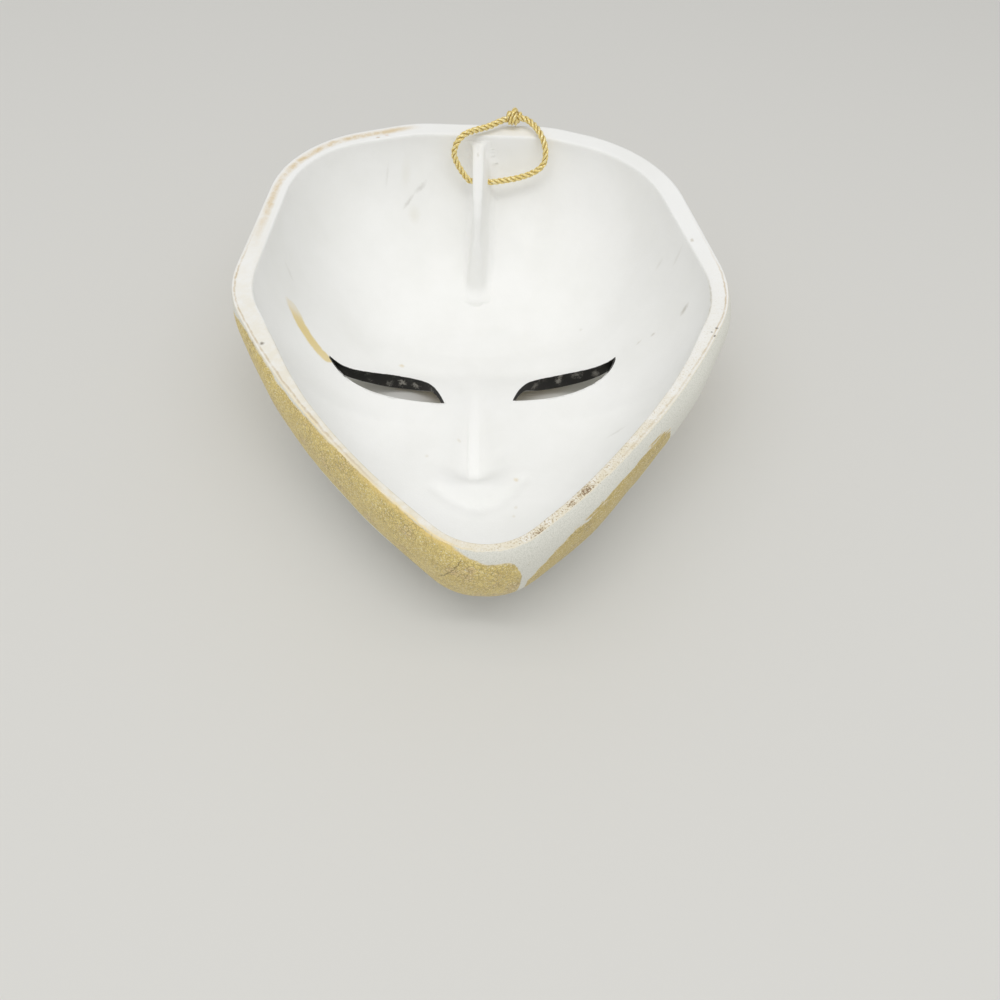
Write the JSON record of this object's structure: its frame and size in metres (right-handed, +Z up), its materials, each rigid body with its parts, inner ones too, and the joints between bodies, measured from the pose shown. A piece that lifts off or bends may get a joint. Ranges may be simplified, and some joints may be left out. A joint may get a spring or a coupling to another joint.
{
  "type": "painted wall mask",
  "caption": "Hollow ceramic face mask with cut eye slits, a flat back rim and a cast inner lug carrying a short gold hanging loop.",
  "frame": {"origin": "middle of the mask's bounding box on the surface it lies on, face down", "axes": "+Z up towards the open back, +Y from the chin to the forehead, +X to the right seen from above"},
  "size_m": [0.1262, 0.1549, 0.0521],
  "materials": {
    "bisque": "matte white bisque inside, gold crackle and white paint outside",
    "gold_cord": "twisted metallic gold yarn"
  },
  "bodies": {
    "root": {"mask_shell": "bisque", "hanging_cord": "gold_cord", "cord_knot": "gold_cord"}
  },
  "joints": []
}
